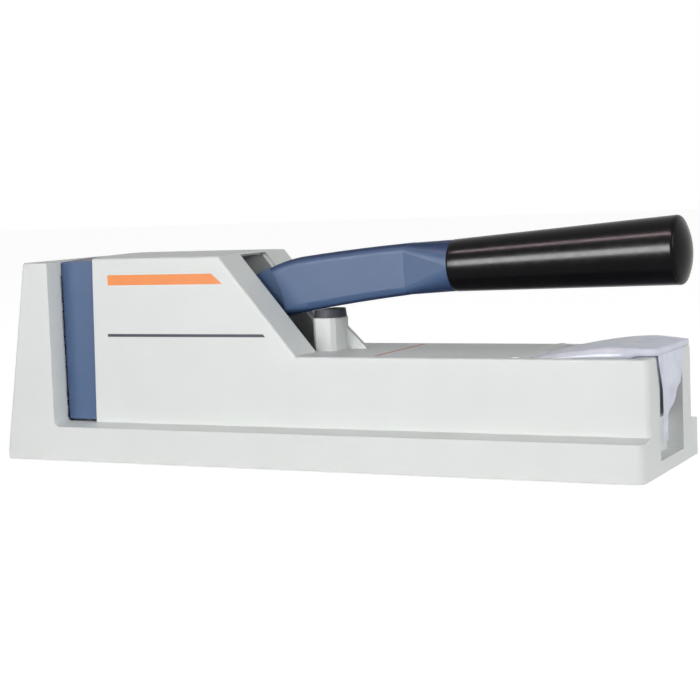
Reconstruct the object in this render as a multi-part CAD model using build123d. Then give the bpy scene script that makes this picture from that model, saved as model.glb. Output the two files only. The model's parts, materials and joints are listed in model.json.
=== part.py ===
from build123d import *
import math
import os

# Lever pill crusher. Millimetres. The lengthwise places below are measured from the left end of
# the base; everything is moved at the end so that the origin lies on the table, under the middle
# of the overall length, with X towards the grip, Y to the back and Z up.

# Overall
OVERALL_LENGTH = 340.0
BASE_WIDTH = 88.7
FOOT_PROUD = 0.8
SLIDING_GAP = 0.3
RUNNING_GAP = 0.05

# Base moulding
BASE_WALL = 3.0
DECK_Z = 19.0
LEDGE_DROP = 1.4
DECK_THICKNESS = 3.0
CORNER_RADIUS = 3.0
RIB = 2.0
RIB_SPACING = 45.0
RIB_OFFSET = 8.0

# End column of the base, the fixed side of the crushing gap
COLUMN_TOP_Z = 99.0
COLUMN_INNER_X = 29.6
COLUMN_LEAN = 14.9
COLUMN_EDGE = 1.5
COLUMN_LEAN_START_Z = 5.0
COLUMN_SIDE_DRAFT = 0.7
COLUMN_FOOT_RADIUS = 3.0

# Thumb notch at the open end of the tray
NOTCH_WIDTH = 36.6
NOTCH_DEPTH = 7.7
NOTCH_FLOOR_Z = 6.8

# Upper housing
BODY_WIDTH = 67.4
BODY_WALL = 2.5
MOUTH_WALL = 1.2
MOUTH_LENGTH = 22.0
TOWER_FOOT_X = 47.6
TOWER_LEFT_X = 50.0
TOWER_TOP_Z = 100.1
TOP_CROWN = 1.0
SLANT_TOP_X = 121.5
SLANT_FOOT_X = 161.2
LOW_BODY_LENGTH = 168.8
LOW_TOP_Z = 52.5
SLOT_WIDTH = 25.3
SLOT_RIM = 0.5
SLOT_CHEEK = 2.0
SLOT_CHEEK_DEPTH = 9.0
EDGE_RADIUS = 1.2

# Pouch tray in the low end of the housing
TRAY_LENGTH = 118.5
TRAY_FLOOR = 3.2
TRAY_OPENING = 57.0
LIP_LENGTH = 7.5
LIP_HEIGHT = 0.5
POUCH_PLAY = 2.7
POUCH_HEADROOM = 1.0
POUCH_STACK_SETBACK = 12.0
POUCH_STACK_RAKE = 20.0
POUCH_CREST_SETBACK = 14.0
POUCH_BULGE = 5.1
POUCH_MOUTH_DROP = 0.6
POUCH_REACH = 9.5
POUCH_FILM = 1.2
TAIL_WAIST_Z = 38.0
TAIL_STRIP_Z = 26.0
TAIL_FOOT_Z = 15.0
POUCH_MARGIN = 0.6

# Lever stop post and its rubber bumper
POST_SETBACK = 4.0
POST_LENGTH = 12.0
POST_WIDTH = 17.3
POST_DROP = 4.1
POST_CHAMFER = 2.0
POST_GUSSET = 11.0
BUMPER_RADIUS = 7.5
BUMPER_TAPER = 0.5
BUMPER_PLUG_RADIUS = 3.0
BUMPER_PLUG_DEPTH = 8.0

# Lever, with its pivot inside the tower
PIVOT_SETBACK = 7.5
PIVOT_DEPTH = 27.7
PIN_RADIUS = 5.0
SHOULDER_RADIUS = 29.2
ARM_WIDTH = 19.0
ARM_EDGE = 4.0
ARM_HEIGHT = 24.1
ARM_LENGTH = 115.4
ARM_BLEND = 22.0
RIM_STEP = 0.2
TONGUE_WIDTH = 16.0
FORK_RADIUS = 18.0
HUB_RADIUS = 12.5
CAM_WIDTH = 9.0
CAM_FIT = 0.1
CAM_RIM = 2.0
DOWEL_RADIUS = 1.0
DOWEL_ANGLES = (190.0, 270.0)
TANG_LENGTH = 85.0
TANG_HEIGHT = 13.0
TANG_WIDTH = 9.0
BUSH_WALL = 1.8
SPACER_WALL = 2.5

# Points on the lever's long edges, seen from the side and measured from the pivot, and how far
# the two edges bulge upwards on their way to the grip
TOP_START = (7.5, 13.1)
TOP_BEND = (21.5, 20.6)
TOP_KNEE = (38.0, 25.3)
TOP_BULGE = 0.36
UNDER_START = (22.0, -4.0)
UNDER_BULGE = 0.6

# Grip
GRIP_START_RADIUS = 12.15
GRIP_END_RADIUS = 15.4
GRIP_RISE = 19.6
GRIP_TILT = 2.75
GRIP_DOME = 4.0
GRIP_EDGE = 1.5

# Cam drive: the jaw moves in proportion to the lever's turn
LEVER_LIFT = 23.0
JAW_STROKE = 8.0
CAM_REACH = 30.0
CAM_OVERRUN = 5.0
CAM_HEEL = (11.25, -2.0)
ROLLER_RADIUS = 7.0
ROLLER_PIN_RADIUS = 2.5

# Jaw, the blue block that slides against the column
JAW_GAP = 0.4
JAW_LENGTH = 22.0
JAW_FRONT_WALL = 7.0
JAW_SIDE_WALL = 3.0
JAW_LIFT = 1.2
JAW_EDGE = 1.0
CRUSH_PLATE = 4.0
PLATE_EDGE = 2.2
RAM_SIZE = 16.0
RAM_FORK_WALL = 3.0

# Guide block, rods and return springs behind the jaw
GUIDE_X = 66.0
GUIDE_LENGTH = 12.0
GUIDE_HEADROOM = 14.1
GUIDE_SIDE_ROOM = 6.2
GUIDE_FOOT_LENGTH = 12.0
GUIDE_FOOT_HEIGHT = 5.0
ROD_RADIUS = 4.0
ROD_SPREAD = 13.0
ROD_Z = 42.0
ROD_END_X = 108.0
COLLAR_X = 102.0
COLLAR_LENGTH = 3.0
COLLAR_RADIUS = 6.4
SPRING_WIRE = 0.6
SPRING_TURNS = 6
SPRING_CORNERS = 12

# Steel frame that carries the crushing load from the pivot to the column
FRAME_TAIL = 38.0
FRAME_THICKNESS = 3.0
FRAME_SIDE_ROOM = 7.2
UPSTAND_THICKNESS = 4.0
UPSTAND_MARGIN = 1.5
ANVIL_THICKNESS = 6.0
ANVIL_SIDE_DROP = 1.2
ANVIL_TOP_DROP = 7.5
CHEEK_INSET = 4.0
CHEEK_RADIUS = 14.0
CHEEK_FOOT = 46.0

# Fasteners, feet and bottom plate
SCREW_RADIUS = 1.5
SCREW_HEAD_RADIUS = 3.0
BOSS_RADIUS = 3.6
BOLT_RADIUS = 2.5
BOLT_HEAD_RADIUS = 4.2
BOLT_HEAD_HEIGHT = 3.5
NUT_RADIUS = 4.6
NUT_HEIGHT = 4.0
BOTTOM_PLATE = 2.0
BOTTOM_RECESS = 2.0
FOOT_RADIUS = 8.0
FOOT_STEM_RADIUS = 2.2
FOOT_INSET = 25.0
FOOT_SIDE_INSET = 13.35
PLATE_SCREW_INSET = 50.0
PLATE_SCREW_SIDE_INSET = 8.35
HOUSING_SCREW_GAP = 7.5
HOUSING_SCREW_LENGTH = 14.0
BOLT_SPREAD = 16.0
TAIL_BOLT_INSET = 6.0
PLATE_HOLE_INSET = 12.0

# Places that follow from the sizes above
BASE_LENGTH = SLANT_FOOT_X + LOW_BODY_LENGTH
HALF_BASE = BASE_WIDTH / 2
HALF_BODY = BODY_WIDTH / 2
BODY_INNER = HALF_BODY - BODY_WALL
RIM_Z = FOOT_PROUD
DECK_UNDER_Z = DECK_Z - DECK_THICKNESS
NOTCH_X = BASE_LENGTH - NOTCH_DEPTH
PLATE_UNDER_Z = RIM_Z + BOTTOM_RECESS
PLATE_TOP_Z = PLATE_UNDER_Z + BOTTOM_PLATE
CAVITY_END_X = NOTCH_X - BASE_WALL
SLANT_RUN = (SLANT_FOOT_X - SLANT_TOP_X) / (TOWER_TOP_Z - LOW_TOP_Z)
TRAY_START_X = BASE_LENGTH - TRAY_LENGTH
TRAY_FLOOR_Z = DECK_Z + TRAY_FLOOR
TRAY_MOUTH_X = BASE_LENGTH - TRAY_OPENING
LIP_X = TRAY_MOUTH_X - LIP_LENGTH
PIVOT_X = SLANT_TOP_X - PIVOT_SETBACK
PIVOT_Z = TOWER_TOP_Z - PIVOT_DEPTH
FLOOR_TOP_Z = DECK_Z + FRAME_THICKNESS
FRAME_START_X = COLUMN_INNER_X - ANVIL_THICKNESS - UPSTAND_THICKNESS
FRAME_END_X = PIVOT_X + FRAME_TAIL
FRAME_HALF = BODY_INNER - FRAME_SIDE_ROOM
ANVIL_HALF = HALF_BODY - ANVIL_SIDE_DROP
ANVIL_BACK_X = FRAME_START_X + UPSTAND_THICKNESS
ANVIL_FOOT_Z = FLOOR_TOP_Z + SLIDING_GAP
ANVIL_TOP_Z = COLUMN_TOP_Z - ANVIL_TOP_DROP
CHEEK_INNER_Y = FRAME_HALF - CHEEK_INSET
CHEEK_OUTER_Y = CHEEK_INNER_Y + FRAME_THICKNESS
GUIDE_TOP_Z = TOWER_TOP_Z - GUIDE_HEADROOM
GUIDE_HALF = BODY_INNER - GUIDE_SIDE_ROOM
JAW_X = COLUMN_INNER_X + JAW_GAP
JAW_BACK_X = JAW_X + JAW_LENGTH
JAW_HALF = HALF_BODY - MOUTH_WALL - SLIDING_GAP
JAW_TOP_Z = TOWER_TOP_Z - MOUTH_WALL - SLIDING_GAP
JAW_CAVITY_X = JAW_X + JAW_FRONT_WALL
ROLLER_X = PIVOT_X - CAM_REACH
CAM_RATE = JAW_STROKE / math.radians(LEVER_LIFT)
POUCH_HALF = BODY_INNER - POUCH_PLAY
POUCH_STACK_TOP_Z = LOW_TOP_Z - BODY_WALL - POUCH_HEADROOM
POUCH_STACK_END_X = BASE_LENGTH - POUCH_STACK_SETBACK
POUCH_CREST_X = BASE_LENGTH - POUCH_CREST_SETBACK
POUCH_CREST_Z = LOW_TOP_Z + POUCH_BULGE
POUCH_TAIL_X = BASE_LENGTH + POUCH_MARGIN
TAIL_HALF = POUCH_HALF - 4 * POUCH_FILM
POST_X = SLANT_FOOT_X - POST_SETBACK
POST_END_X = POST_X + POST_LENGTH
POST_TOP_Z = PIVOT_Z - POST_DROP
BUMPER_X = POST_X + POST_LENGTH / 2
ARM_END_X = PIVOT_X + ARM_LENGTH
GRIP_START_Z = PIVOT_Z + GRIP_RISE
GRIP_ANGLE = math.radians(GRIP_TILT)
DOME_RADIUS = (GRIP_END_RADIUS**2 + GRIP_DOME**2) / (2 * GRIP_DOME)
DOME_CENTRE = (OVERALL_LENGTH - ARM_END_X - DOME_RADIUS) / math.cos(GRIP_ANGLE)
GRIP_LENGTH = DOME_CENTRE + DOME_RADIUS


def both_sides(xs, y):
    """Places at each x, on both sides of the middle."""
    return [(x, side * y) for x in xs for side in (-1, 1)]


FOOT_XS = (FOOT_INSET, BASE_LENGTH - FOOT_INSET)
FOOT_PLACES = both_sides(FOOT_XS, HALF_BASE - FOOT_SIDE_INSET)
PLATE_SCREW_XS = (PLATE_SCREW_INSET, BASE_LENGTH / 2, BASE_LENGTH - PLATE_SCREW_INSET)
PLATE_SCREWS = both_sides(PLATE_SCREW_XS, HALF_BASE - PLATE_SCREW_SIDE_INSET)
BOSS_X = TRAY_START_X - HOUSING_SCREW_GAP
BOSS_Y = BODY_INNER - BOSS_RADIUS - SLIDING_GAP
HOUSING_SCREWS = both_sides((POST_X, BOSS_X), BOSS_Y)
PILLAR_SCREWS = both_sides([BASE_LENGTH - NOTCH_DEPTH / 2], (NOTCH_WIDTH / 2 + HALF_BODY) / 2)
GUIDE_BOLTS = both_sides([GUIDE_X + GUIDE_LENGTH + GUIDE_FOOT_LENGTH / 2], BOLT_SPREAD)
TAIL_BOLTS = both_sides([FRAME_END_X - TAIL_BOLT_INSET], BOLT_SPREAD)
PLATE_HOLE_ZS = (FLOOR_TOP_Z + PLATE_HOLE_INSET, ANVIL_TOP_Z - PLATE_HOLE_INSET)
ANVIL_SCREWS = [(y, z) for z, y in both_sides(PLATE_HOLE_ZS, ANVIL_HALF - PLATE_HOLE_INSET)]
JAW_SCREWS = [(y, z) for z, y in both_sides(PLATE_HOLE_ZS, JAW_HALF - PLATE_HOLE_INSET)]
ROD_PLACES = [-ROD_SPREAD, ROD_SPREAD]


def block(x0, x1, y0, y1, z0, z1):
    """Box between two corners."""
    middle = Pos((x0 + x1) / 2, (y0 + y1) / 2, (z0 + z1) / 2)
    return middle * Box(x1 - x0, y1 - y0, z1 - z0)


def side_prism(outline, half_width):
    """Prism of a side view outline, equally deep on both sides of the middle."""
    return extrude(Plane.XZ * outline, amount=half_width, both=True)


def post_z(x, y, z0, z1, radius):
    """Upright cylinder."""
    return Pos(x, y, (z0 + z1) / 2) * Cylinder(radius, z1 - z0)


def bar_x(x0, x1, y, z, radius):
    """Cylinder along X."""
    return Pos((x0 + x1) / 2, y, z) * Rot(0, 90, 0) * Cylinder(radius, x1 - x0)


def bar_y(x, z, y0, y1, radius):
    """Cylinder along Y."""
    return Pos(x, (y0 + y1) / 2, z) * Rot(90, 0, 0) * Cylinder(radius, y1 - y0)


def crowned_block(x0, x1, half_width, z0, z_edge, crown):
    """Block along X whose top is a shallow arc from side to side."""
    left = (-half_width, z_edge)
    right = (half_width, z_edge)
    top = ThreePointArc(left, (0, z_edge + crown), right)
    rest = Polyline(right, (half_width, z0), (-half_width, z0), left)
    outline = make_face([top, rest])
    return extrude(Plane.YZ.offset(x0) * outline, amount=x1 - x0)


def slant_x(z, depth=0.0):
    """Lengthwise place of the slanted face at a height, or of a plane that lies deeper inside."""
    return SLANT_FOOT_X - (z - LOW_TOP_Z) * SLANT_RUN - depth * math.hypot(1, SLANT_RUN)


def side_outline(inset):
    """Side view of the housing, moved inwards by inset except at its open foot."""
    crest = TOWER_TOP_Z + TOP_CROWN - inset
    low = LOW_TOP_Z - inset
    return Polygon(
        (TOWER_FOOT_X + inset, DECK_Z),
        (TOWER_LEFT_X + inset, crest),
        (slant_x(crest, inset), crest),
        (slant_x(low, inset), low),
        (BASE_LENGTH - inset, low),
        (BASE_LENGTH - inset, DECK_Z),
        align=None,
    )


def base_tray():
    """Base moulding: ledge and deck, hollow from below, with the leaning end column."""
    section = Polygon(
        (-HALF_BASE, RIM_Z),
        (HALF_BASE, RIM_Z),
        (HALF_BASE, DECK_Z - LEDGE_DROP),
        (HALF_BODY, DECK_Z),
        (-HALF_BODY, DECK_Z),
        (-HALF_BASE, DECK_Z - LEDGE_DROP),
        align=None,
    )
    run = BASE_LENGTH - COLUMN_INNER_X
    body = extrude(Plane.YZ.offset(COLUMN_INNER_X) * section, amount=run)
    body = fillet(body.edges().filter_by(Axis.Z).sort_by(Axis.X)[-2:], CORNER_RADIUS)
    body = body + end_column()
    body = fillet([e for e in body.edges() if is_column_foot(e)], COLUMN_FOOT_RADIUS)
    body = body - anvil_pocket() - base_hollow()
    body = body + base_ribs() + [
        post_z(x, y, PLATE_TOP_Z, DECK_UNDER_Z, BOSS_RADIUS) for x, y in PLATE_SCREWS
    ]
    body = body - block(
        NOTCH_X, BASE_LENGTH, -NOTCH_WIDTH / 2, NOTCH_WIDTH / 2, NOTCH_FLOOR_Z, DECK_Z
    )
    holes = [post_z(x, y, PLATE_TOP_Z, DECK_UNDER_Z - 1, SCREW_RADIUS) for x, y in PLATE_SCREWS]
    holes += [post_z(x, y, RIM_Z, DECK_Z, SCREW_RADIUS) for x, y in HOUSING_SCREWS + PILLAR_SCREWS]
    holes += [post_z(x, y, RIM_Z, DECK_Z, BOLT_RADIUS) for x, y in GUIDE_BOLTS + TAIL_BOLTS]
    holes += [
        post_z(x, y, RIM_Z, DECK_UNDER_Z, SCREW_HEAD_RADIUS) for x, y in HOUSING_SCREWS + PILLAR_SCREWS
    ]
    holes += [post_z(x, y, RIM_Z, DECK_UNDER_Z, NUT_RADIUS) for x, y in GUIDE_BOLTS + TAIL_BOLTS]
    return body - holes


def is_column_foot(edge):
    """True for the inner edges where the column meets the ledge and the deck."""
    middle = edge.center()
    across = abs(edge.tangent_at(0.5).Y) > 0.9
    return across and abs(middle.X - COLUMN_INNER_X) < 0.1 and 0 <= DECK_Z - middle.Z < LEDGE_DROP


def anvil_pocket():
    """Recess in the column for the frame's upstand and the anvil plate, clear of the jaw."""
    half = ANVIL_HALF + SLIDING_GAP
    start = FRAME_START_X - SLIDING_GAP
    recess = block(start, COLUMN_INNER_X, -half, half, DECK_Z, ANVIL_TOP_Z + SLIDING_GAP)
    end = COLUMN_INNER_X + COLUMN_FOOT_RADIUS
    return recess + block(start, end, -half, half, DECK_Z, DECK_Z + COLUMN_FOOT_RADIUS)


def end_column():
    """Column at the left end: its outer face leans in, its sides are slightly drafted."""
    side = Polygon(
        (0, RIM_Z),
        (0, COLUMN_LEAN_START_Z),
        (COLUMN_LEAN, COLUMN_TOP_Z),
        (COLUMN_INNER_X, COLUMN_TOP_Z),
        (COLUMN_INNER_X, RIM_Z),
        align=None,
    )
    top_half = HALF_BASE - COLUMN_SIDE_DRAFT
    end = Polygon(
        (-HALF_BASE, RIM_Z),
        (HALF_BASE, RIM_Z),
        (HALF_BASE, DECK_Z - LEDGE_DROP),
        (top_half, COLUMN_TOP_Z),
        (-top_half, COLUMN_TOP_Z),
        (-HALF_BASE, DECK_Z - LEDGE_DROP),
        align=None,
    )
    column = side_prism(side, HALF_BASE) & extrude(Plane.YZ * end, amount=COLUMN_INNER_X)
    upright = [e for e in column.edges() if abs(e.tangent_at(0.5).Z) > 0.9]
    column = fillet([e for e in upright if e.center().X < COLUMN_LEAN], COLUMN_EDGE)
    top = column.faces().sort_by(Axis.Z)[-1]
    return fillet(top.edges(), EDGE_RADIUS)


def base_hollow():
    """Space inside the base below the deck, and the wedge inside the column."""
    half = HALF_BASE - BASE_WALL
    room = block(BASE_WALL, CAVITY_END_X, -half, half, RIM_Z, DECK_UNDER_Z)
    lean = COLUMN_LEAN / (COLUMN_TOP_Z - COLUMN_LEAN_START_Z)
    back = FRAME_START_X - BASE_WALL
    tip_z = COLUMN_LEAN_START_Z + (back - BASE_WALL - 1) / lean
    wedge_outline = Polygon(
        (BASE_WALL, RIM_Z),
        (BASE_WALL, COLUMN_LEAN_START_Z),
        (back - 1, tip_z),
        (back, tip_z),
        (back, RIM_Z),
        align=None,
    )
    wedge = side_prism(wedge_outline, half - COLUMN_SIDE_DRAFT)
    ribs = []
    for side in (-1, 1):
        middle = side * NOTCH_WIDTH / 2
        ribs.append(block(0, back, middle - RIB / 2, middle + RIB / 2, DECK_Z, tip_z))
    return room + wedge - ribs


def base_ribs():
    """Cross ribs and two long ribs under the deck."""
    half = HALF_BASE - BASE_WALL
    ribs = []
    for n in range(int(CAVITY_END_X // RIB_SPACING)):
        start = RIB_SPACING * (n + 1) - RIB / 2
        ribs.append(block(start, start + RIB, -half, half, PLATE_TOP_Z, DECK_UNDER_Z))
    for middle in (-RIB_OFFSET, RIB_OFFSET):
        near = middle - RIB / 2
        rib = block(FRAME_START_X, CAVITY_END_X, near, near + RIB, PLATE_TOP_Z, DECK_UNDER_Z)
        ribs.append(rib)
    return ribs


def bottom_plate():
    """Plate that closes the base from below."""
    half = HALF_BASE - BASE_WALL - SLIDING_GAP
    start = BASE_WALL + SLIDING_GAP
    plate = block(start, CAVITY_END_X - SLIDING_GAP, -half, half, PLATE_UNDER_Z, PLATE_TOP_Z)
    holes = [post_z(x, y, RIM_Z, DECK_Z, SCREW_RADIUS) for x, y in PLATE_SCREWS]
    holes += [post_z(x, y, RIM_Z, DECK_Z, FOOT_STEM_RADIUS) for x, y in FOOT_PLACES]
    return plate - holes


def feet():
    """Rubber feet with stems pressed through the bottom plate."""
    result = []
    for x, y in FOOT_PLACES:
        pad = post_z(x, y, 0, PLATE_UNDER_Z, FOOT_RADIUS)
        pad = chamfer(pad.edges().sort_by(Axis.Z)[0], FOOT_PROUD / 2)
        result.append(pad + post_z(x, y, PLATE_UNDER_Z, PLATE_TOP_Z, FOOT_STEM_RADIUS))
    return result


def screw_up(x, y, head_z, head_height, length, radius, head_radius):
    """Screw that points up, its head below head_z."""
    head = post_z(x, y, head_z - head_height, head_z, head_radius)
    return head + post_z(x, y, head_z, head_z + length, radius)


def bottom_screws():
    """Screws that hold the bottom plate."""
    length = DECK_UNDER_Z - PLATE_UNDER_Z - 2
    height = BOTTOM_RECESS * 0.8
    return [
        screw_up(x, y, PLATE_UNDER_Z, height, length, SCREW_RADIUS, SCREW_HEAD_RADIUS)
        for x, y in PLATE_SCREWS
    ]


def housing_screws():
    """Screws from under the deck into the bosses and end pillars of the housing."""
    length = HOUSING_SCREW_LENGTH
    return [
        screw_up(x, y, DECK_UNDER_Z, BOTTOM_RECESS, length, SCREW_RADIUS, SCREW_HEAD_RADIUS)
        for x, y in HOUSING_SCREWS + PILLAR_SCREWS
    ]


def upper_housing():
    """One-piece cover: tower with slanted slotted face, low body, tray, lip and stop post."""
    body = side_prism(side_outline(0), HALF_BODY)
    envelope = crowned_block(0, BASE_LENGTH, HALF_BODY, DECK_Z, TOWER_TOP_Z, TOP_CROWN)
    body = body & envelope
    ends = [e for e in body.edges().filter_by(Axis.Z) if e.center().X > BASE_LENGTH - 1]
    body = fillet(ends, 2 * EDGE_RADIUS)
    outline = [e for e in body.edges() if e.center().Z > DECK_Z + 1 and not is_upright_left(e)]
    body = fillet(outline, EDGE_RADIUS)
    body = body - housing_cavity() - tray_cavity() - lever_slot()
    body = body + slot_cheeks() + stop_post() + tray_lip() + housing_bosses()
    top = DECK_UNDER_Z + HOUSING_SCREW_LENGTH + BODY_WALL
    holes = [post_z(x, y, 0, top, SCREW_RADIUS) for x, y in HOUSING_SCREWS + PILLAR_SCREWS]
    plug = post_z(BUMPER_X, 0, POST_TOP_Z - BUMPER_PLUG_DEPTH, POST_TOP_Z, BUMPER_PLUG_RADIUS)
    return body - holes - plug


def is_upright_left(edge):
    """True for the edges round the open left end of the housing."""
    return edge.center().X < TOWER_LEFT_X + 1


def housing_cavity():
    """Room for the mechanism, open to the left and downwards."""
    left = block(0, TOWER_LEFT_X + BODY_WALL + 1, -BODY_INNER, BODY_INNER, 0, TOWER_TOP_Z - BODY_WALL)
    inner = side_prism(side_outline(BODY_WALL), BODY_INNER)
    before_tray = block(0, TRAY_START_X - BODY_WALL, -BODY_INNER, BODY_INNER, 0, TOWER_TOP_Z + 2)
    crown = crowned_block(
        0, BASE_LENGTH, BODY_INNER, DECK_Z, TOWER_TOP_Z - BODY_WALL, TOP_CROWN
    )
    mouth = crowned_block(
        0,
        TOWER_FOOT_X + MOUTH_LENGTH,
        HALF_BODY - MOUTH_WALL,
        DECK_Z,
        TOWER_TOP_Z - MOUTH_WALL,
        TOP_CROWN,
    )
    return (inner & before_tray & crown) + (left & before_tray) + mouth


def tray_cavity():
    """Pouch tray: a tunnel under the lip, open on top beyond it, with a thumb notch at the end."""
    tunnel = block(
        TRAY_START_X, NOTCH_X, -BODY_INNER, BODY_INNER, TRAY_FLOOR_Z, LOW_TOP_Z - BODY_WALL
    )
    mouth = block(TRAY_MOUTH_X, NOTCH_X, -BODY_INNER, BODY_INNER, TRAY_FLOOR_Z, LOW_TOP_Z + 1)
    notch = block(NOTCH_X, BASE_LENGTH, -NOTCH_WIDTH / 2, NOTCH_WIDTH / 2, 0, LOW_TOP_Z + 1)
    return tunnel + mouth + notch


def lever_slot():
    """Slot for the lever in the slanted face, from its top rim down to its foot."""
    rim = TOWER_TOP_Z - SLOT_RIM
    outline = Polygon(
        (slant_x(rim, BODY_WALL), rim),
        (slant_x(rim) + BODY_WALL, rim),
        (slant_x(LOW_TOP_Z) + BODY_WALL, LOW_TOP_Z),
        (slant_x(LOW_TOP_Z, BODY_WALL), LOW_TOP_Z),
        align=None,
    )
    return side_prism(outline, SLOT_WIDTH / 2)


def slot_cheeks():
    """Inner walls on both sides of the slot."""
    top = TOWER_TOP_Z - BODY_WALL + TOP_CROWN / 2
    depth = BODY_WALL + SLOT_CHEEK_DEPTH
    outline = Polygon(
        (slant_x(top, depth), top),
        (slant_x(top, BODY_WALL / 2), top),
        (slant_x(LOW_TOP_Z, BODY_WALL / 2), LOW_TOP_Z - BODY_WALL / 2),
        (slant_x(LOW_TOP_Z, depth), LOW_TOP_Z - BODY_WALL / 2),
        align=None,
    )
    start = SLOT_WIDTH / 2
    cheek = extrude(Plane.XZ.offset(start) * outline, amount=SLOT_CHEEK)
    return cheek + mirror(cheek, Plane.XZ)


def stop_post():
    """Post that carries the bumper, with a gusset at its right, towards the back."""
    half = POST_WIDTH / 2
    post = block(POST_X, POST_END_X, -half, half, LOW_TOP_Z - BODY_WALL, POST_TOP_Z)
    post = chamfer(post.edges().filter_by(Axis.Z), POST_CHAMFER)
    post = fillet(post.faces().sort_by(Axis.Z)[-1].edges(), EDGE_RADIUS / 2)
    gusset = Polygon(
        (POST_END_X - 1, LOW_TOP_Z - 1),
        (POST_END_X - 1, LOW_TOP_Z + POST_GUSSET),
        (POST_END_X, LOW_TOP_Z + POST_GUSSET),
        (POST_END_X + POST_GUSSET, LOW_TOP_Z),
        (POST_END_X + POST_GUSSET, LOW_TOP_Z - 1),
        align=None,
    )
    rib = Pos(0, half - POST_CHAMFER - BODY_WALL / 2, 0) * side_prism(gusset, BODY_WALL / 2)
    return post + rib


def tray_lip():
    """Rounded lip across the top, at the edge of the tray's mouth."""
    half_length = LIP_LENGTH / 2
    left = (LIP_X, LOW_TOP_Z - LIP_HEIGHT)
    right = (LIP_X + LIP_LENGTH, LOW_TOP_Z - LIP_HEIGHT)
    arc = ThreePointArc(left, (LIP_X + half_length, LOW_TOP_Z + LIP_HEIGHT), right)
    outline = make_face([arc, Line(right, left)])
    return side_prism(outline, BODY_INNER)


def housing_bosses():
    """Screw bosses from the deck to the roof of the low body."""
    top = LOW_TOP_Z - BODY_WALL / 2
    return [post_z(x, y, DECK_Z, top, BOSS_RADIUS) for x, y in HOUSING_SCREWS]


def bumper():
    """Tapered rubber bumper, plugged into the post; its top follows the lever's underside."""
    height = PIVOT_Z - POST_TOP_Z
    cone = Cone(BUMPER_RADIUS + BUMPER_TAPER, BUMPER_RADIUS, height)
    pad = Pos(BUMPER_X, 0, POST_TOP_Z + height / 2) * cone
    pad = pad - Pos(0, 0, -SLIDING_GAP) * side_prism(lever_outline(), BUMPER_RADIUS)
    return pad + post_z(BUMPER_X, 0, POST_TOP_Z - BUMPER_PLUG_DEPTH, POST_TOP_Z, BUMPER_PLUG_RADIUS)


def from_pivot(offset):
    """Place in the side view at an offset from the pivot."""
    return (PIVOT_X + offset[0], PIVOT_Z + offset[1])


def arm_end_corner(side):
    """Upper or lower end of the arm's side view, where the blend into the grip begins."""
    centre_x = ARM_END_X - ARM_BLEND * math.cos(GRIP_ANGLE)
    centre_z = GRIP_START_Z - ARM_BLEND * math.sin(GRIP_ANGLE)
    lean = side * ARM_HEIGHT / 2 * math.sin(GRIP_ANGLE)
    rise = side * ARM_HEIGHT / 2 * math.cos(GRIP_ANGLE)
    return (centre_x - lean, centre_z + rise)


def lever_outline():
    """Side view of the lever casting, from the hub to where it blends into the round grip."""
    start = from_pivot(TOP_START)
    knee = from_pivot(TOP_KNEE)
    top_end = arm_end_corner(1)
    under_end = arm_end_corner(-1)
    under_start = from_pivot(UNDER_START)
    hub_low = from_pivot((0, -HUB_RADIUS))
    hub_high = from_pivot((0, HUB_RADIUS))
    edges = [
        ThreePointArc(start, from_pivot(TOP_BEND), knee),
        SagittaArc(knee, top_end, TOP_BULGE),
        Line(top_end, under_end),
        SagittaArc(under_start, under_end, UNDER_BULGE),
        Line(under_start, hub_low),
        ThreePointArc(hub_low, from_pivot((-HUB_RADIUS, 0)), hub_high),
        Line(hub_high, start),
    ]
    return make_face(edges)


def lever_arm():
    """Blue lever casting: hub cheeks, tongue, shouldered arm and the tang inside the grip."""
    outline = lever_outline()
    inside = Pos(PIVOT_X, PIVOT_Z) * Circle(SHOULDER_RADIUS)
    arm = side_prism(outline - inside, ARM_WIDTH / 2)
    long_edges = [e for e in arm.edges() if abs(e.center().Y) > 1 and e.length > SHOULDER_RADIUS / 4]
    long_edges = [e for e in long_edges if abs(e.tangent_at(0.5).X) > 0.5]
    arm = fillet(long_edges, ARM_EDGE) + arm_end()
    tongue = side_prism(outline & inside, TONGUE_WIDTH / 2)
    fork = side_prism(Pos(PIVOT_X, PIVOT_Z) * Circle(FORK_RADIUS), CAM_WIDTH / 2)
    bore = bar_y(PIVOT_X, PIVOT_Z, -TONGUE_WIDTH, TONGUE_WIDTH, PIN_RADIUS + BUSH_WALL)
    return arm + (tongue - fork) + tang() - bore - cam_pins()


def arm_end():
    """End of the arm, lofted from its rounded rectangle to the round of the grip."""
    across = Rot(0, 90, 0) * Rot(0, 0, 90)
    round_size = 2 * GRIP_START_RADIUS - 2 * RIM_STEP
    arm_section = RectangleRounded(ARM_WIDTH - RIM_STEP, ARM_HEIGHT - RIM_STEP, ARM_EDGE)
    grip_section = RectangleRounded(round_size, round_size, round_size / 2 - RIM_STEP)
    return loft(
        [
            grip_place() * Pos(-ARM_BLEND, 0, 0) * across * arm_section,
            grip_place() * across * grip_section,
        ]
    )


def tang():
    """Bar of the lever inside the grip."""
    bar = Pos(TANG_LENGTH / 2, 0, 0) * Box(TANG_LENGTH, TANG_WIDTH, TANG_HEIGHT)
    return grip_place() * bar


def grip_place():
    """Start of the grip, with X along its axis."""
    return Pos(ARM_END_X, 0, GRIP_START_Z) * Rot(0, -GRIP_TILT, 0)


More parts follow.
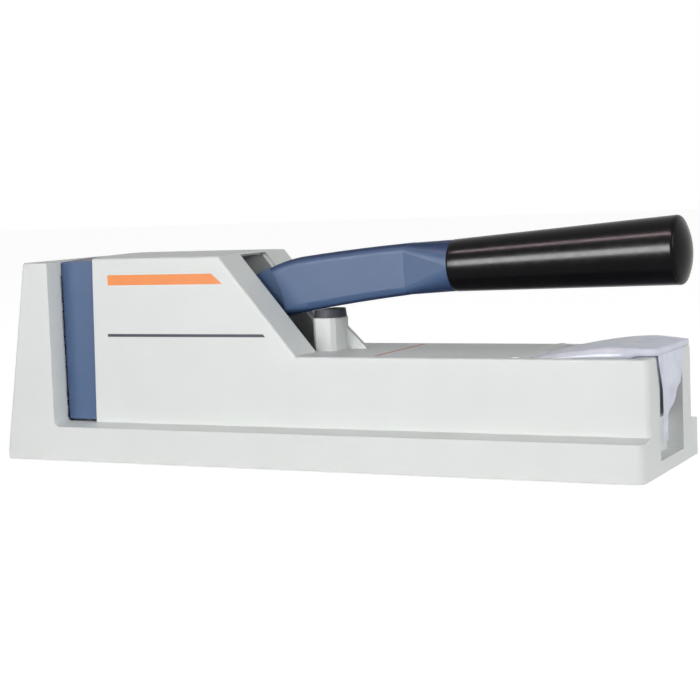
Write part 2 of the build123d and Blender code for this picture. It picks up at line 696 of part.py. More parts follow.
def grip():
    """Black tapered handle with a domed end."""
    rim = GRIP_LENGTH - GRIP_DOME
    shell = Polyline((0, 0), (0, GRIP_START_RADIUS), (rim, GRIP_END_RADIUS))
    half_angle = math.asin(GRIP_END_RADIUS / DOME_RADIUS) / 2
    crest = (DOME_CENTRE + DOME_RADIUS * math.cos(half_angle), DOME_RADIUS * math.sin(half_angle))
    dome = ThreePointArc((rim, GRIP_END_RADIUS), crest, (GRIP_LENGTH, 0))
    axis = Line((GRIP_LENGTH, 0), (0, 0))
    outline = make_face([shell, dome, axis])
    body = revolve(Plane.XZ * outline, Axis.X)
    rim_edges = [e for e in body.edges() if abs(e.center().X - rim) < 1]
    round_rim = max(rim_edges, key=lambda e: e.length)
    body = fillet(round_rim, GRIP_EDGE)
    return grip_place() * body - tang()


def cam_pitch(lift):
    """Roller centre in the lever's own frame at a lift in radians, seen from the pivot."""
    reach = CAM_REACH - CAM_RATE * lift
    angle = math.pi - lift
    return Vector(reach * math.cos(angle), reach * math.sin(angle))


def cam_point(lift):
    """Point of the cam's working face for a lift: the roller's path moved in by its radius."""
    step = 1e-4
    along = (cam_pitch(lift + step) - cam_pitch(lift - step)).normalized()
    inward = Vector(-along.Y, along.X)
    if inward.dot(cam_pitch(lift)) > 0:
        inward = -inward
    place = cam_pitch(lift) + inward * (ROLLER_RADIUS + CAM_FIT)
    return (PIVOT_X + place.X, PIVOT_Z + place.Y)


def cam():
    """Steel cam plate between the hub cheeks: its rise is in proportion to the lever's turn."""
    low = -math.radians(CAM_OVERRUN)
    high = math.radians(LEVER_LIFT + CAM_OVERRUN)
    steps = 12
    points = [cam_point(low + (high - low) * n / steps) for n in range(steps + 1)]
    face = Spline(points)
    heel = from_pivot(CAM_HEEL)
    under = ThreePointArc(points[0], from_pivot((-HUB_RADIUS / 2, -HUB_RADIUS)), heel)
    crown = PIN_RADIUS + BUSH_WALL + CAM_RIM
    over = ThreePointArc(heel, from_pivot((0, crown)), points[-1])
    plate = side_prism(make_face([face, under, over]), CAM_WIDTH / 2 - RUNNING_GAP)
    bore = bar_y(PIVOT_X, PIVOT_Z, -CAM_WIDTH, CAM_WIDTH, PIN_RADIUS + BUSH_WALL)
    return plate - bore - cam_pins()


def cam_pins():
    """Two dowels that lock the cam to the hub cheeks."""
    half = TONGUE_WIDTH / 2
    reach = HUB_RADIUS - BUSH_WALL - DOWEL_RADIUS
    result = []
    for angle in DOWEL_ANGLES:
        turn = math.radians(angle)
        x = PIVOT_X + reach * math.cos(turn)
        z = PIVOT_Z + reach * math.sin(turn)
        result.append(bar_y(x, z, -half, half, DOWEL_RADIUS))
    return result


def hub_bushes():
    """Bronze bush in the hub, running on the pivot pin."""
    half = TONGUE_WIDTH / 2
    tube = bar_y(PIVOT_X, PIVOT_Z, -half, half, PIN_RADIUS + BUSH_WALL)
    return tube - bar_y(PIVOT_X, PIVOT_Z, -half, half, PIN_RADIUS + RUNNING_GAP)


def pivot_pin():
    """Steel pin through the frame cheeks and the hub."""
    end = CHEEK_OUTER_Y + 3.0
    pin = bar_y(PIVOT_X, PIVOT_Z, -end, end, PIN_RADIUS)
    return chamfer(pin.edges().filter_by(GeomType.CIRCLE), 0.6)


def pivot_spacers():
    """Tubes on the pin that centre the hub between the frame cheeks."""
    start = TONGUE_WIDTH / 2 + SLIDING_GAP
    result = []
    for side in (-1, 1):
        ends = sorted((side * start, side * CHEEK_INNER_Y))
        tube = bar_y(PIVOT_X, PIVOT_Z, ends[0], ends[1], PIN_RADIUS + SPACER_WALL)
        result.append(tube - bar_y(PIVOT_X, PIVOT_Z, ends[0], ends[1], PIN_RADIUS))
    return result


def pivot_clips():
    """Retaining rings at the ends of the pin."""
    result = []
    for side in (-1, 1):
        ends = sorted((side * CHEEK_OUTER_Y, side * (CHEEK_OUTER_Y + 1.2)))
        ring = bar_y(PIVOT_X, PIVOT_Z, ends[0], ends[1], PIN_RADIUS + 2.5)
        ring = ring - bar_y(PIVOT_X, PIVOT_Z, ends[0], ends[1], PIN_RADIUS)
        gap = block(PIVOT_X, PIVOT_X + 2 * PIN_RADIUS, ends[0], ends[1], PIVOT_Z - 1.5, PIVOT_Z + 1.5)
        result.append(ring - gap)
    return result


def frame():
    """Bent steel frame: floor, upstand behind the anvil and two cheeks for the pivot."""
    floor = block(FRAME_START_X, FRAME_END_X, -FRAME_HALF, FRAME_HALF, DECK_Z, FLOOR_TOP_Z)
    wide = ANVIL_HALF - UPSTAND_MARGIN
    top = ANVIL_TOP_Z - UPSTAND_MARGIN
    upstand = block(FRAME_START_X, ANVIL_BACK_X, -wide, wide, DECK_Z, top)
    foot = CHEEK_FOOT / 2
    outline = Polygon(
        (PIVOT_X - foot, DECK_Z),
        (PIVOT_X + foot, DECK_Z),
        (PIVOT_X + CHEEK_RADIUS, PIVOT_Z),
        (PIVOT_X - CHEEK_RADIUS, PIVOT_Z),
        align=None,
    )
    outline = outline + Pos(PIVOT_X, PIVOT_Z) * Circle(CHEEK_RADIUS)
    cheek = extrude(Plane.XZ.offset(CHEEK_INNER_Y) * outline, amount=FRAME_THICKNESS)
    body = floor + upstand + cheek + mirror(cheek, Plane.XZ)
    body = body - bar_y(PIVOT_X, PIVOT_Z, -CHEEK_OUTER_Y, CHEEK_OUTER_Y, PIN_RADIUS)
    holes = [post_z(x, y, 0, FLOOR_TOP_Z, BOLT_RADIUS) for x, y in GUIDE_BOLTS + TAIL_BOLTS]
    holes += [bar_x(0, ANVIL_BACK_X, y, z, BOLT_RADIUS) for y, z in ANVIL_SCREWS]
    return body - holes


def anvil_plate():
    """Steel crushing plate set flush in the column."""
    plate = block(
        ANVIL_BACK_X, COLUMN_INNER_X, -ANVIL_HALF, ANVIL_HALF, ANVIL_FOOT_Z, ANVIL_TOP_Z
    )
    return plate - anvil_screws()


def anvil_screws():
    """Countersunk screws through the anvil into the upstand."""
    result = []
    length = BOLT_RADIUS
    for y, z in ANVIL_SCREWS:
        head = Cone(BOLT_RADIUS, 2 * BOLT_RADIUS, length)
        head = Pos(COLUMN_INNER_X - length / 2, y, z) * Rot(0, 90, 0) * head
        shank = bar_x(FRAME_START_X, COLUMN_INNER_X - length, y, z, BOLT_RADIUS)
        result.append(head + shank)
    return result


def guide_block():
    """Fixed block that guides the ram and the two rods."""
    end = GUIDE_X + GUIDE_LENGTH
    body = block(GUIDE_X, end, -GUIDE_HALF, GUIDE_HALF, FLOOR_TOP_Z, GUIDE_TOP_Z)
    body = fillet(body.edges().filter_by(Axis.X).sort_by(Axis.Z)[-2:], 5 * EDGE_RADIUS)
    body = body + block(
        end,
        end + GUIDE_FOOT_LENGTH,
        -CHEEK_INNER_Y,
        CHEEK_INNER_Y,
        FLOOR_TOP_Z,
        FLOOR_TOP_Z + GUIDE_FOOT_HEIGHT,
    )
    room = RAM_SIZE / 2 + SLIDING_GAP
    body = body - block(GUIDE_X, end, -room, room, PIVOT_Z - room, PIVOT_Z + room)
    body = body - [bar_x(GUIDE_X, end, y, ROD_Z, ROD_RADIUS + BUSH_WALL) for y in ROD_PLACES]
    return body - [post_z(x, y, 0, GUIDE_TOP_Z, BOLT_RADIUS) for x, y in GUIDE_BOLTS]


def guide_bushes():
    """Flanged bronze bushes in the guide block."""
    end = GUIDE_X + GUIDE_LENGTH
    result = []
    for y in ROD_PLACES:
        tube = bar_x(GUIDE_X, end, y, ROD_Z, ROD_RADIUS + BUSH_WALL)
        flange = bar_x(end, end + 1.5, y, ROD_Z, COLLAR_RADIUS)
        hole = bar_x(GUIDE_X, end + 1.5, y, ROD_Z, ROD_RADIUS + RUNNING_GAP)
        result.append(tube + flange - hole)
    return result


def frame_bolts():
    """Bolts that clamp the guide block and the frame to the deck."""
    result = []
    seats = [(x, y, FLOOR_TOP_Z + GUIDE_FOOT_HEIGHT) for x, y in GUIDE_BOLTS]
    seats += [(x, y, FLOOR_TOP_Z) for x, y in TAIL_BOLTS]
    for x, y, seat in seats:
        head = post_z(x, y, seat, seat + BOLT_HEAD_HEIGHT, BOLT_HEAD_RADIUS)
        shank = post_z(x, y, DECK_UNDER_Z - NUT_HEIGHT - 1, seat, BOLT_RADIUS)
        result.append(head + shank)
    return result


def frame_nuts():
    """Hexagon nuts under the deck."""
    result = []
    for x, y in GUIDE_BOLTS + TAIL_BOLTS:
        outline = Pos(x, y, DECK_UNDER_Z - NUT_HEIGHT) * RegularPolygon(NUT_RADIUS, 6)
        nut = extrude(outline, amount=NUT_HEIGHT)
        result.append(nut - post_z(x, y, 0, DECK_Z, BOLT_RADIUS))
    return result


def jaw():
    """Blue sliding block: closed front, hollow back with bosses for the ram and the rods."""
    foot = DECK_Z + JAW_LIFT
    body = crowned_block(JAW_X, JAW_BACK_X, JAW_HALF, foot, JAW_TOP_Z, TOP_CROWN)
    front = [e for e in body.edges() if abs(e.center().X - JAW_X) < 0.1]
    body = fillet(front, JAW_EDGE)
    inner = JAW_HALF - JAW_SIDE_WALL
    hollow = block(
        JAW_CAVITY_X,
        JAW_BACK_X,
        -inner,
        inner,
        foot + 2 * JAW_SIDE_WALL,
        JAW_TOP_Z - 2 * JAW_SIDE_WALL,
    )
    half = FRAME_HALF + SLIDING_GAP
    under = block(JAW_X, JAW_BACK_X, -half, half, 0, FLOOR_TOP_Z + SLIDING_GAP)
    ram_boss = RAM_SIZE / 2 + JAW_SIDE_WALL
    bosses = [
        block(JAW_CAVITY_X, JAW_BACK_X, -ram_boss, ram_boss, PIVOT_Z - ram_boss, PIVOT_Z + ram_boss)
    ]
    rod_boss = ROD_RADIUS + JAW_SIDE_WALL
    bosses += [bar_x(JAW_CAVITY_X, JAW_BACK_X, y, ROD_Z, rod_boss) for y in ROD_PLACES]
    body = body - hollow - under + bosses
    room = RAM_SIZE / 2
    body = body - block(JAW_CAVITY_X, JAW_BACK_X, -room, room, PIVOT_Z - room, PIVOT_Z + room)
    body = body - [bar_x(JAW_CAVITY_X, JAW_BACK_X, y, ROD_Z, ROD_RADIUS) for y in ROD_PLACES]
    return body - crush_plate_block() - jaw_screws()


def crush_plate_block():
    """Space of the steel plate in the face of the jaw."""
    half = JAW_HALF - PLATE_EDGE
    foot = FLOOR_TOP_Z + PLATE_EDGE
    return block(JAW_X, JAW_X + CRUSH_PLATE, -half, half, foot, ANVIL_TOP_Z)


def jaw_plate():
    """Steel crushing plate of the jaw."""
    return crush_plate_block() - jaw_screws()


def jaw_screws():
    """Screws from the hollow of the jaw into its plate."""
    result = []
    for y, z in JAW_SCREWS:
        head = bar_x(JAW_CAVITY_X, JAW_CAVITY_X + 2.0, y, z, SCREW_HEAD_RADIUS)
        shank = bar_x(JAW_X + CRUSH_PLATE / 2, JAW_CAVITY_X, y, z, SCREW_RADIUS)
        result.append(head + shank)
    return result


def ram():
    """Square bar from the jaw to the forked end that carries the roller."""
    half = RAM_SIZE / 2
    fork_x = ROLLER_X - ROLLER_RADIUS - 2 * SLIDING_GAP
    bar = block(JAW_CAVITY_X, fork_x, -half, half, PIVOT_Z - half, PIVOT_Z + half)
    tip = ROLLER_RADIUS - 2 * SLIDING_GAP
    ears = block(fork_x, ROLLER_X, -half, half, PIVOT_Z - tip, PIVOT_Z + tip)
    ears = ears + bar_y(ROLLER_X, PIVOT_Z, -half, half, tip)
    inner = half - RAM_FORK_WALL
    ears = ears - block(fork_x, PIVOT_X, -inner, inner, 0, TOWER_TOP_Z)
    return bar + ears - roller_pin()


def roller_pin():
    """Pin of the cam roller."""
    half = RAM_SIZE / 2
    return bar_y(ROLLER_X, PIVOT_Z, -half, half, ROLLER_PIN_RADIUS)


def roller():
    """Hardened roller that runs on the cam."""
    half = RAM_SIZE / 2 - RAM_FORK_WALL - SLIDING_GAP
    wheel = bar_y(ROLLER_X, PIVOT_Z, -half, half, ROLLER_RADIUS)
    return wheel - bar_y(ROLLER_X, PIVOT_Z, -half, half, ROLLER_PIN_RADIUS + RUNNING_GAP)


def guide_rods():
    """Rods fixed in the jaw that slide in the guide block."""
    return [bar_x(JAW_CAVITY_X, ROD_END_X, y, ROD_Z, ROD_RADIUS) for y in ROD_PLACES]


def rod_collars():
    """Collars near the ends of the rods, on which the springs push."""
    result = []
    for y in ROD_PLACES:
        collar = bar_x(COLLAR_X, COLLAR_X + COLLAR_LENGTH, y, ROD_Z, COLLAR_RADIUS)
        result.append(collar - bar_x(COLLAR_X, COLLAR_X + COLLAR_LENGTH, y, ROD_Z, ROD_RADIUS))
    return result


def return_springs():
    """Compression springs that push the jaw open."""
    start = GUIDE_X + GUIDE_LENGTH + 1.5 + SPRING_WIRE
    length = COLLAR_X - SPRING_WIRE - start
    radius = ROD_RADIUS + 2 * SPRING_WIRE
    corners = SPRING_TURNS * SPRING_CORNERS
    points = []
    for n in range(corners + 1):
        turn = 2 * math.pi * n / SPRING_CORNERS
        points.append((radius * math.cos(turn), radius * math.sin(turn), length * n / corners))
    path = Polyline(points)
    section = Plane(origin=path @ 0, z_dir=path % 0) * RegularPolygon(SPRING_WIRE, 6)
    coil = sweep(section, path=path, transition=Transition.RIGHT)
    return [Pos(start, y, ROD_Z) * Rot(0, 90, 0) * coil for y in ROD_PLACES]


def pouch_stack():
    """Stack of flat pouches in the tray, slipped so that its near end is raked."""
    start = TRAY_START_X + POUCH_MARGIN
    floor = TRAY_FLOOR_Z + SLIDING_GAP
    outline = Polygon(
        (start, floor),
        (start, POUCH_STACK_TOP_Z),
        (POUCH_STACK_END_X, POUCH_STACK_TOP_Z),
        (POUCH_STACK_END_X - POUCH_STACK_RAKE, floor),
        align=None,
    )
    stack = side_prism(outline, POUCH_HALF)
    return fillet(stack.edges().filter_by(Axis.Z), 2 * EDGE_RADIUS)


def top_pouch():
    """Top pouch: bulges out of the tray's mouth, and its lower sheet hangs down over the end."""
    under = POUCH_STACK_TOP_Z + SLIDING_GAP
    over_flange = LOW_TOP_Z + POUCH_MARGIN
    mouth = TRAY_MOUTH_X + POUCH_MARGIN
    mouth_z = LOW_TOP_Z - POUCH_MOUTH_DROP
    crest = (POUCH_CREST_X, POUCH_CREST_Z)
    tip_x = NOTCH_X + POUCH_REACH
    tip_z = POUCH_CREST_Z - POUCH_FILM
    rise = (3 * POUCH_CREST_Z + mouth_z) / 4
    lines = [
        ThreePointArc((mouth, mouth_z), ((mouth + POUCH_CREST_X) / 2, rise), crest),
        Polyline(crest, (tip_x, tip_z), (tip_x, over_flange), (NOTCH_X, over_flange)),
        Polyline((NOTCH_X, over_flange), (POUCH_CREST_X, under), (mouth, under), (mouth, mouth_z)),
    ]
    body = side_prism(make_face(lines), POUCH_HALF)
    return body + hanging_sheet(over_flange)


def hanging_sheet(top_z):
    """Sheet that hangs in front of the thumb notch and narrows to a strip at its near side."""
    outline = Polygon(
        (TAIL_HALF, top_z + POUCH_FILM),
        (-TAIL_HALF, top_z + POUCH_FILM),
        (-NOTCH_WIDTH / 2, TAIL_WAIST_Z),
        (-NOTCH_WIDTH / 2, TAIL_FOOT_Z),
        (-NOTCH_WIDTH / 3, TAIL_FOOT_Z),
        (-NOTCH_WIDTH / 4, TAIL_STRIP_Z),
        (TAIL_HALF / 2, TAIL_WAIST_Z),
        align=None,
    )
    return extrude(Plane.YZ.offset(POUCH_TAIL_X) * outline, amount=POUCH_FILM)


PARTS = {
    "base_tray": base_tray,
    "bottom_plate": bottom_plate,
    "feet": feet,
    "bottom_screws": bottom_screws,
    "upper_housing": upper_housing,
    "housing_screws": housing_screws,
    "bumper": bumper,
    "frame": frame,
    "frame_bolts": frame_bolts,
    "frame_nuts": frame_nuts,
    "anvil_plate": anvil_plate,
    "anvil_screws": anvil_screws,
    "pivot_pin": pivot_pin,
    "pivot_spacers": pivot_spacers,
    "pivot_clips": pivot_clips,
    "guide_block": guide_block,
    "guide_bushes": guide_bushes,
    "jaw": jaw,
    "jaw_plate": jaw_plate,
    "jaw_screws": jaw_screws,
    "ram": ram,
    "roller_pin": roller_pin,
    "roller": roller,
    "guide_rods": guide_rods,
    "rod_collars": rod_collars,
    "return_springs": return_springs,
    "lever_arm": lever_arm,
    "cam": cam,
    "cam_pins": cam_pins,
    "hub_bushes": hub_bushes,
    "grip": grip,
    "pouch_stack": pouch_stack,
    "top_pouch": top_pouch,
}


def main():
    os.makedirs("parts", exist_ok=True)
    to_origin = Pos(-OVERALL_LENGTH / 2, 0, 0)
    for name, make in PARTS.items():
        made = make()
        solids = made if isinstance(made, list) else [made]
        solids = [s for piece in solids for s in (to_origin * piece).solids()]
        shape = solids[0] if len(solids) == 1 else Compound(children=solids)
        export_step(shape, f"parts/{name}.step")


main()
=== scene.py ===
import json
import math

import bpy
from mathutils import Matrix, Vector, noise


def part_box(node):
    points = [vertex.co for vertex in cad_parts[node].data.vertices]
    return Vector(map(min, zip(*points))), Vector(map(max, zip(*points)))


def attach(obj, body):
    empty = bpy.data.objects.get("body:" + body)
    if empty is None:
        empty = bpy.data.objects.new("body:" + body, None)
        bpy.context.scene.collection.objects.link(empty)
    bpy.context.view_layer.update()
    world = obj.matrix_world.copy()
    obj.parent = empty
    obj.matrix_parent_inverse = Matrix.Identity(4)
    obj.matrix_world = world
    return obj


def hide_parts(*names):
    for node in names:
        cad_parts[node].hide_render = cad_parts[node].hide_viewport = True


# Lever pill crusher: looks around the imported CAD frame. Metres, Z up, X towards the grip.

MM = 0.001

# Camera, fitted to the photograph
CAMERA_PLACE = (0.36429, -0.72446, 0.12833)
CAMERA_YAW = 0.4627
CAMERA_PITCH = 0.0937
CAMERA_ROLL = -0.0398
CAMERA_LENS = 87.1
CAMERA_SENSOR = 36.0

# Colours, linear
OFF_WHITE = (0.735, 0.762, 0.747)
BLUE = (0.092, 0.155, 0.295)
# Painted shade: darker blue for the faces and rounded edges that face up or down
BLUE_PAINTED_SHADE = (0.028, 0.050, 0.125)
BLACK = (0.003, 0.003, 0.004)
RUBBER = (0.060, 0.062, 0.078)
FOOT_RUBBER = (0.030, 0.030, 0.032)
DARK_PLASTIC = (0.10, 0.105, 0.11)
STEEL = (0.55, 0.55, 0.56)
ZINC = (0.48, 0.49, 0.50)
ALUMINIUM = (0.62, 0.63, 0.64)
BRONZE = (0.47, 0.30, 0.14)
FILM = (0.86, 0.89, 1.0)
STRIPE = (1.0, 0.28, 0.035)
RULE = (0.040, 0.040, 0.065)

# Light
WHITE = (1.0, 1.0, 1.0)
PINK = (1.0, 0.78, 0.80)
WORLD_LIGHT = 0.19
KEY_LIGHT = 11.4
STRIP_LIGHT = 46.0
BAND_LIGHT = 125.0
FILL_LIGHT = 10.5
FLOOR_WHITE = 0.87
FLOOR_SHARE = 0.6

# Print on the side and the top
PRINT_PROUD = 0.06 * MM
STRIPE_X = (-111.5, -52.4)
STRIPE_FOOT_X = -46.6
STRIPE_Z = (86.8, 91.8)
RULE_X = (-113.0, -24.5)
RULE_Z = (61.5, 62.9)
TOP_LINE_X = (28.6, 30.4)
TOP_LINE_HALF = 28.0
LOW_TOP_Z = 52.5
BROWN = (0.5, 0.17, 0.05)

# Grip
GRIP_START = (59.4, 92.0)
GRIP_TILT = math.radians(2.75)
GRIP_RADII = (12.15, 15.4)
GRIP_END_X = 170.0
GRIP_DOME = 4.0
GRIP_EDGE = 1.5

# Pouches
POUCH_HALF = 28.5
STACK_START_X = 42.2
STACK_END_X = 147.9
STACK_RAKE = 20.0
STACK_Z = (22.55, 48.95)
STACK_COUNT = 13
POUCH_RIM = 5.0
FILM_THICKNESS = 0.10
POUCH_FILL = 0.78
BAG_START = (103.7, 51.8)
BAG_CREST = (146.0, 57.3)
BAG_END_X = 161.7
BAG_END_DROP = 1.1
BAG_TAPER = 0.16
BAG_TOP_PLAY = 0.25
BAG_UNDERSIDE_Z = 49.3
BAG_UNDERSIDE_RISE = 3.85
BAG_RISE_LENGTH = 5.5
TAIL_X = 161.2

# Height of the hanging film, with its near and far edge there
TAIL_EDGES = (
    (54.2, -23.5, 17.0),
    (46.0, -21.5, 13.5),
    (38.0, -18.0, 10.5),
    (31.0, -17.8, -1.0),
    (26.0, -17.9, -9.3),
    (15.2, -18.1, -12.4),
)

# Screw heads in the bottom plate
SCREW_XS = (-120.0, -5.0, 110.0)
SCREW_Y = 36.0
SCREW_FACE_Z = 1.2

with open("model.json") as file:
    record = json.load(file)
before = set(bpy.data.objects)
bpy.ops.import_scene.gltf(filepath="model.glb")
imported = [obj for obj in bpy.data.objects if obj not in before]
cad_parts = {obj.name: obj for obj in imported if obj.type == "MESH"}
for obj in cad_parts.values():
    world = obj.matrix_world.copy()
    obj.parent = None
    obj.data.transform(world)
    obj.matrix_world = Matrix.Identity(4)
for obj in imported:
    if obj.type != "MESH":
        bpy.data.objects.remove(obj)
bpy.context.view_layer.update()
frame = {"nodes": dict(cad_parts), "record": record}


def new_material(name):
    """Empty node material with its shader."""
    material = bpy.data.materials.new(name)
    material.use_nodes = True
    shader = material.node_tree.nodes["Principled BSDF"]
    return material, material.node_tree, shader


def add(tree, kind, **settings):
    """Node with its settings and socket values."""
    node = tree.nodes.new(kind)
    for key, value in settings.items():
        if key in node.inputs:
            node.inputs[key].default_value = value
        else:
            setattr(node, key, value)
    return node


def noise_field(tree, scale, detail=4.0, stretch=(1, 1, 1)):
    """Noise in object space, in features per metre."""
    place = add(tree, "ShaderNodeTexCoord")
    mapping = add(tree, "ShaderNodeMapping", Scale=stretch)
    texture = add(tree, "ShaderNodeTexNoise", Scale=scale, Detail=detail)
    tree.links.new(place.outputs["Object"], mapping.inputs["Vector"])
    tree.links.new(mapping.outputs["Vector"], texture.inputs["Vector"])
    return texture.outputs["Fac"]


def between(tree, factor, low, high, start=0.35, end=0.65):
    """Value or colour that runs from low to high with a field."""
    ramp = add(tree, "ShaderNodeMapRange")
    ramp.inputs["From Min"].default_value = start
    ramp.inputs["From Max"].default_value = end
    tree.links.new(factor, ramp.inputs["Value"])
    if not isinstance(low, tuple):
        ramp.inputs["To Min"].default_value = low
        ramp.inputs["To Max"].default_value = high
        return ramp.outputs["Result"]
    mix = add(tree, "ShaderNodeMix", data_type="RGBA")
    mix.inputs["A"].default_value = (*low, 1)
    mix.inputs["B"].default_value = (*high, 1)
    tree.links.new(ramp.outputs["Result"], mix.inputs["Factor"])
    return mix.outputs["Result"]


def bump(tree, shader, height, strength, distance, rounding=0.0):
    """Bump on the shader, on top of softened edges."""
    node = add(tree, "ShaderNodeBump", Strength=strength, Distance=distance)
    tree.links.new(height, node.inputs["Height"])
    if rounding:
        edge = add(tree, "ShaderNodeBevel", samples=6, Radius=rounding)
        tree.links.new(edge.outputs["Normal"], node.inputs["Normal"])
    tree.links.new(node.outputs["Normal"], shader.inputs["Normal"])


def scaled(colour, factor):
    """Colour made lighter or darker."""
    return tuple(min(1.0, channel * factor) for channel in colour)


def surface(name, colour, roughness, grain, depth, spread=0.04, metallic=0.0, **extra):
    """Material with fine grain, slight colour drift and uneven gloss."""
    material, tree, shader = new_material(name)
    shader.inputs["Metallic"].default_value = metallic
    for key, value in extra.items():
        if key in shader.inputs:
            shader.inputs[key].default_value = value
    drift = noise_field(tree, 35.0, 3.0)
    tint = between(tree, drift, scaled(colour, 1 - spread), scaled(colour, 1 + spread))
    tree.links.new(tint, shader.inputs["Base Color"])
    patch = noise_field(tree, 260.0, 5.0)
    rough = between(tree, patch, roughness * 0.88, roughness * 1.12)
    tree.links.new(rough, shader.inputs["Roughness"])
    fine = noise_field(tree, grain, 6.0)
    bump(tree, shader, fine, 0.35, depth, extra.get("rounding", 0.0))
    return material


def brushed(name, colour, roughness, stretch):
    """Metal with fine lines along one direction."""
    material, tree, shader = new_material(name)
    shader.inputs["Metallic"].default_value = 1.0
    lines = noise_field(tree, 400.0, 6.0, stretch)
    tint = between(tree, lines, scaled(colour, 0.88), scaled(colour, 1.08))
    tree.links.new(tint, shader.inputs["Base Color"])
    rough = between(tree, lines, roughness * 0.8, roughness * 1.25)
    tree.links.new(rough, shader.inputs["Roughness"])
    bump(tree, shader, lines, 0.15, 0.03 * MM, 0.25 * MM)
    return material


def blue_paint():
    """Satin blue paint with painted shade: a darker blue on the faces and rounded edges that don't
    look sideways.
    """
    material, tree, shader = new_material("blue_paint")
    shader.inputs["Specular IOR Level"].default_value = 0.07
    place = add(tree, "ShaderNodeTexCoord")
    parts = add(tree, "ShaderNodeSeparateXYZ")
    tree.links.new(place.outputs["Normal"], parts.inputs["Vector"])
    upright = add(tree, "ShaderNodeMath", operation="ABSOLUTE")
    tree.links.new(parts.outputs["Z"], upright.inputs[0])
    drift = noise_field(tree, 40.0, 3.0)
    side = between(tree, drift, scaled(BLUE, 0.97), scaled(BLUE, 1.03))
    # Painted shade: faces and rounded edges that face up or down are mixed towards the darker blue
    mix = add(tree, "ShaderNodeMix", data_type="RGBA")
    edge = between(tree, upright.outputs[0], 0.0, 1.0, 0.30, 0.85)
    tree.links.new(edge, mix.inputs["Factor"])
    tree.links.new(side, mix.inputs["A"])
    mix.inputs["B"].default_value = (*BLUE_PAINTED_SHADE, 1)
    tree.links.new(mix.outputs["Result"], shader.inputs["Base Color"])
    patch = noise_field(tree, 260.0, 5.0)
    tree.links.new(between(tree, patch, 0.34, 0.44), shader.inputs["Roughness"])
    bump(tree, shader, noise_field(tree, 1500.0, 6.0), 0.35, 0.04 * MM, 0.35 * MM)
    return material


def film_material():
    """Thin milky plastic film with a faint violet cast and small wrinkles."""
    material, tree, shader = new_material("clear_film")
    shader.inputs["Roughness"].default_value = 0.32
    shader.inputs["Specular IOR Level"].default_value = 0.22
    haze = noise_field(tree, 90.0, 4.0)
    tint = between(tree, haze, scaled(FILM, 0.90), scaled(FILM, 1.03))
    tree.links.new(tint, shader.inputs["Base Color"])
    creases = noise_field(tree, 160.0, 5.0, (1.0, 0.35, 1.0))
    bump(tree, shader, creases, 0.45, 0.4 * MM)
    through = add(tree, "ShaderNodeBsdfTranslucent")
    tree.links.new(tint, through.inputs["Color"])
    mix = add(tree, "ShaderNodeMixShader")
    mix.inputs[0].default_value = 0.22
    tree.links.new(shader.outputs[0], mix.inputs[1])
    tree.links.new(through.outputs[0], mix.inputs[2])
    tree.links.new(mix.outputs[0], tree.nodes["Material Output"].inputs["Surface"])
    return material


def make_materials():
    """Every material of the object by the record's slot."""
    plastic = {"rounding": 0.35 * MM, "Specular IOR Level": 0.2}
    dull = {"Specular IOR Level": 0.12}
    glossy = {"Specular IOR Level": 0.08}
    return {
        "light_plastic": surface(
            "light_plastic", OFF_WHITE, 0.48, 2600.0, 0.05 * MM, 0.012, **plastic
        ),
        "plate_plastic": surface(
            "plate_plastic", DARK_PLASTIC, 0.55, 2200.0, 0.06 * MM, 0.06, **plastic
        ),
        "foot_rubber": surface("foot_rubber", FOOT_RUBBER, 0.75, 3200.0, 0.08 * MM, 0.10),
        "bumper_rubber": surface(
            "bumper_rubber", RUBBER, 0.6, 3000.0, 0.05 * MM, 0.10, **dull
        ),
        "screw_steel": brushed("screw_steel", ZINC, 0.38, (1, 1, 1)),
        "frame_steel": brushed("frame_steel", ZINC, 0.42, (0.05, 1, 1)),
        "plate_steel": brushed("plate_steel", STEEL, 0.30, (1, 0.05, 1)),
        "ground_steel": brushed("ground_steel", STEEL, 0.22, (0.1, 1, 1)),
        "spring_steel": brushed("spring_steel", ZINC, 0.30, (1, 1, 1)),
        "block_aluminium": brushed("block_aluminium", ALUMINIUM, 0.35, (1, 0.08, 1)),
        "bronze": brushed("bronze", BRONZE, 0.40, (1, 1, 1)),
        "blue_paint": blue_paint(),
        "black_plastic": surface(
            "black_plastic", BLACK, 0.23, 1800.0, 0.006 * MM, 0.15, **glossy
        ),
        "clear_film": film_material(),
    }


def plain(name, colour, roughness):
    """Printed ink: flat colour broken up by a fine screen."""
    matt = {"Specular IOR Level": 0.12}
    return surface(name, colour, roughness, 4000.0, 0.01 * MM, 0.03, **matt)


def mesh_object(name, vertices, faces, material, smooth=True):
    """Object from vertices in metres."""
    mesh = bpy.data.meshes.new(name)
    mesh.from_pydata(vertices, [], faces)
    mesh.materials.append(material)
    mesh.polygons.foreach_set("use_smooth", [smooth] * len(mesh.polygons))
    piece = bpy.data.objects.new(name, mesh)
    bpy.context.scene.collection.objects.link(piece)
    return piece


def dress_cad(materials):
    """Materials on every CAD node, with smooth shading that keeps its large faces flat."""
    slots = {entry["node"]: entry["material_slot"] for entry in frame["record"]["subparts"]}
    for name, node in frame["nodes"].items():
        mesh = node.data
        mesh.materials.clear()
        mesh.materials.append(materials[slots[name]])
        mesh.polygons.foreach_set("material_index", [0] * len(mesh.polygons))
        mesh.polygons.foreach_set("use_smooth", [True] * len(mesh.polygons))
        mesh.set_sharp_from_angle(angle=math.radians(28))
        node.modifiers.new("flat_faces", "WEIGHTED_NORMAL").keep_sharp = True


def strip(name, corners, y, material):
    """Thin printed strip on the front face: corners are (x, z) in millimetres."""
    back = y
    front = y - PRINT_PROUD
    count = len(corners)
    vertices = [(x * MM, depth, z * MM) for depth in (front, back) for x, z in corners]
    sides = [(i, (i + 1) % count, (i + 1) % count + count, i + count) for i in range(count)]
    faces = [tuple(range(count)), tuple(range(2 * count - 1, count - 1, -1))] + sides
    return mesh_object(name, vertices, faces, material, smooth=False)


